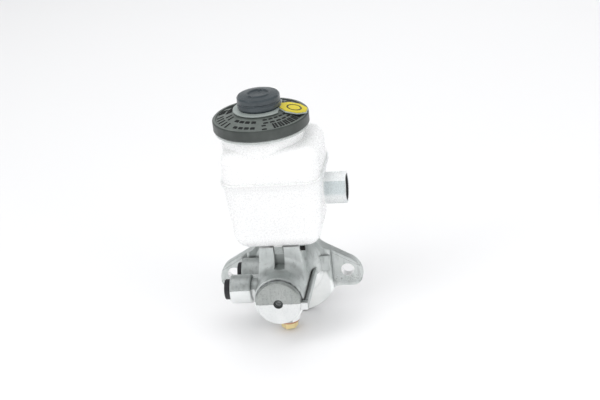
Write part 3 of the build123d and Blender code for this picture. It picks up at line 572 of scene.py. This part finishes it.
def dash(angle, span, inner, outer):
    """Raised bar on the cap's cone, along the cone's slope or round it."""
    steps = max(3, int(span / math.radians(1.5)))
    section = ((inner, DASH_FOOT), (inner, DASH_SHOULDER), (inner + DASH_CHAMFER, DASH_HEIGHT),
               (outer - DASH_CHAMFER, DASH_HEIGHT), (outer, DASH_SHOULDER), (outer, DASH_FOOT))
    rings = []
    for i in range(steps + 1):
        turn = angle - span / 2 + span * i / steps
        drop = DASH_END_DROP if i in (0, steps) else 0.0
        rings.append([(cap_x + radius * math.cos(turn), cap_y + radius * math.sin(turn),
                       cone_z(radius) + (lift - drop if lift > 0 else lift)) for radius, lift in section])
    return swept(rings)


def dash_group(kind, angle, pitch, inner, outer):
    """One place in a row: one upright bar, two uprights, or one or two bars along the row."""
    width = DASH_WIDTH / ((inner + outer) / 2)
    half = pitch * 0.36
    middle = (inner + outer) / 2
    if kind == 0:
        return [dash(angle, width, inner, outer)]
    if kind == 1:
        return [dash(angle, 2 * half, outer - BAR_HEIGHT, outer),
                dash(angle, 2 * half, inner, inner + BAR_HEIGHT)]
    if kind == 3:
        return [dash(angle, 2 * half, middle - MIDDLE_BAR_HEIGHT / 2, middle + MIDDLE_BAR_HEIGHT / 2)]
    return [dash(angle + side * (half - width / 2), width, inner, outer) for side in (-1, 1)]


def dash_row(row, inner, outer, pitch, counts):
    """Groups of like dashes round the cone, with a gap after each group; angles in degrees."""
    start, full_turn = 4.0, 364.0
    bars, angle, group = [], start, 0
    while angle < full_turn - pitch * 1.5:
        count = counts[group % len(counts)]
        for i in range(count):
            centre = angle + pitch * (i + 0.5)
            if centre <= full_turn - pitch:
                bars += dash_group((group * 3 + row) % 5, math.radians(centre), math.radians(pitch),
                                   inner, outer)
        angle += pitch * (count + 0.8)
        group += 1
    return bars


# Plain dashes stand in two rows where such caps carry moulded notes.
bars = dash_row(0, 23.7 * MM, 28.3 * MM, 9.0, (4, 1, 6, 3, 2, 5))
bars += dash_row(1, 18.3 * MM, 22.5 * MM, 11.6, (5, 3, 6, 2, 4))
cap_dashes = as_object("cap_dashes", joined(bars), "cap_black", "cap", smooth=False)
cap_dashes.data.materials[0] = moulded("cap_dash_black", (0.004, 0.005, 0.005), 0.6, 1400)

# A plain ring stands on the tag's plate, on the tongue that bends down over the cone.
TAG_SLOPE, TAG_BEND, TAG_RING_OFFSET = math.radians(13.5), 13.5 * MM, 9.3 * MM
tag_bend = Vector((cap_x + TAG_BEND, cap_y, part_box("cap_tag")[1].z))
tag_frame = Matrix.Translation(tag_bend) @ Matrix.Rotation(TAG_SLOPE, 4, "Y")
ring_section = ((3.9, 0.42), (3.98, 0.58), (4.98, 0.58), (5.06, 0.42))
rings = [[tag_frame @ Vector((TAG_RING_OFFSET + radius * c * MM, radius * s * MM, height * MM))
          for radius, height in ring_section] for c, s in circle(64)]
tag_ring = as_object("tag_ring", swept(rings, closed=True), "tag_yellow", "tag")
tag_ring.data.materials[0] = moulded("tag_ring_print", (0.05, 0.045, 0.012), 0.5)

# A thin dark rubber lip stands in the connector's mouth; only its far side is seen from the front, as a
# dark crescent.
mouth_x, mouth_y, mouth_z = mounts["level_connector"]
seal_section = ((8.96, -1.7), (8.96, -0.35), (8.7, -0.25), (8.35, -0.5),
                (8.2, -1.0), (8.35, -1.5), (8.7, -1.8))
rings = [[(mouth_x + along * MM, mouth_y + radius * c * MM, mouth_z + radius * s * MM)
          for radius, along in seal_section] for c, s in circle(72)]
as_object("connector_seal", swept(rings, closed=True), "seal_rubber", "housing")

# A pip inside the raised ring on the boot marks its moulding gate.
PIP_OFFSET, PIP_SINK = 5.4 * MM, 0.8 * MM
pip_y, pip_z = cap_y + PIP_OFFSET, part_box("cap_boot")[1].z - PIP_SINK
rings = [[(cap_x + radius * c * MM, pip_y + radius * s * MM, pip_z + height * MM)
          for c, s in circle(16)] for radius, height in ((0.85, -0.4), (0.8, 0.45), (0.6, 0.65))]
as_object("boot_pip", swept(rings), "boot_rubber", "cap")


def coil(start, end, mean, wire, turns):
    """Compression spring on the bore axis, with its end coils wound close and ground flat. The
    mean radius is the coil's, and wire is the wire's radius."""
    closed, steps_per_turn = 0.75, 40
    total = turns + 2 * closed
    steps = int(total * steps_per_turn)
    length = end - start - 2 * wire
    closed_rise = wire * 2.1 * closed
    ground = wire * 0.35
    lowest, highest = start + ground, end - ground
    rings = []
    for i in range(steps + 1):
        turn = total * i / steps
        if turn < closed:
            y = closed_rise * turn / closed
        elif turn > total - closed:
            y = length - closed_rise * (total - turn) / closed
        else:
            y = closed_rise + (length - 2 * closed_rise) * (turn - closed) / turns
        c, s = math.cos(2 * math.pi * turn), math.sin(2 * math.pi * turn)
        ring = []
        for out, up in circle(10):
            radius = mean + wire * out
            along = min(max(start + wire + y + wire * up, lowest), highest)
            ring.append((radius * c, along, BORE_Z + radius * s))
        rings.append(ring)
    return swept(rings)


for name, body, joint, mean, wire, turns in (
        ("primary_spring", "secondary", "primary_slide", 5.45 * MM, 0.65 * MM, 6.5),
        ("secondary_spring", "housing", "secondary_slide", 6.6 * MM, 0.9 * MM, 4.0)):
    near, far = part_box(name)
    spring = as_object(name + "_coil", coil(near.y, far.y, mean, wire, turns), "spring_steel", body)
    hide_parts(name)
    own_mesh(spring)


# ---------------------------------------------------------------- studio, light and camera
floor_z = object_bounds()[0][2] - 0.5 * MM
bpy.ops.mesh.primitive_plane_add(size=40, location=(0, 0, floor_z))
floor = bpy.context.object
floor.name = "floor"
floor.data.materials.append(Shader("floor_white", (0.8, 0.797, 0.803), 0.9).material)

# A white sweep up to a low horizon, a greyer room above it and a bright ceiling panel: what
# the metal mirrors. The lamps that whiten the floor and the plastic don't show in the gloss.
world = bpy.data.worlds.new("studio")
bpy.context.scene.world = world
world.use_nodes = True
studio = world.node_tree
background = next(n for n in studio.nodes if n.type == "BACKGROUND")
direction = studio.nodes.new("ShaderNodeTexCoord")
split = studio.nodes.new("ShaderNodeSeparateXYZ")
sweep = studio.nodes.new("ShaderNodeValToRGB")
studio.links.new(direction.outputs["Generated"], split.inputs[0])
studio.links.new(split.outputs["Z"], sweep.inputs["Fac"])
studio.links.new(sweep.outputs["Color"], background.inputs["Color"])
levels = ((0.0, 1.0), (0.2, 1.0), (0.26, 0.42), (0.6, 0.33), (0.88, 0.36), (0.95, 1.0))
elements = sweep.color_ramp.elements
while len(elements) < len(levels):
    elements.new(0.5)
for element, (position, level) in zip(elements, levels):
    element.position = position
    element.color = (level * 0.985, level, level * 1.01, 1)
background.inputs["Strength"].default_value = 1.0


def softbox(name, place, aim, size, watts, glossy=False):
    data = bpy.data.lights.new(name, "AREA")
    data.shape = "RECTANGLE"
    data.size, data.size_y = size
    data.energy = watts
    lamp = bpy.data.objects.new(name, data)
    bpy.context.scene.collection.objects.link(lamp)
    lamp.location = place
    lamp.rotation_euler = (Vector(aim) - Vector(place)).to_track_quat("-Z", "Y").to_euler()
    lamp.visible_glossy = glossy


middle = (0, -0.03, 0.06)
softbox("overhead", (0.0, 0.0, 1.6), (0, 0, 0), (3.0, 3.0), 17.5)
softbox("key", (-0.5, -0.8, 0.9), middle, (0.9, 0.9), 6.0)
softbox("fill", (0.9, -0.6, 0.5), middle, (0.8, 0.8), 5.0)
softbox("back", (0.0, 0.9, 0.9), middle, (1.2, 0.8), 4.0)
softbox("low", (0.15, -0.9, 0.12), (0, 0, -0.02), (1.4, 0.2), 1.0)
softbox("glint", (-0.6, -0.5, 0.5), middle, (0.12, 0.5), 0.6, glossy=True)

yaw, tilt, roll, distance = math.radians(9.7), math.radians(23.6), math.radians(6.43), 0.995
target = Vector((0.016, -0.029, 0.06415))
back = Vector((math.sin(yaw) * math.cos(tilt), -math.cos(yaw) * math.cos(tilt), math.sin(tilt)))
level_right = Vector((math.cos(yaw), math.sin(yaw), 0))
level_up = back.cross(level_right)
right = level_right * math.cos(roll) - level_up * math.sin(roll)
up = level_up * math.cos(roll) + level_right * math.sin(roll)
lens = bpy.data.cameras.new("camera")
lens.lens = 90
lens.sensor_width = 36
camera = bpy.data.objects.new("camera", lens)
bpy.context.scene.collection.objects.link(camera)
orientation = Matrix((right, up, back)).transposed().to_4x4()
camera.matrix_world = Matrix.Translation(target + back * distance) @ orientation
bpy.context.scene.camera = camera
bpy.context.scene.view_settings.view_transform = "Standard"
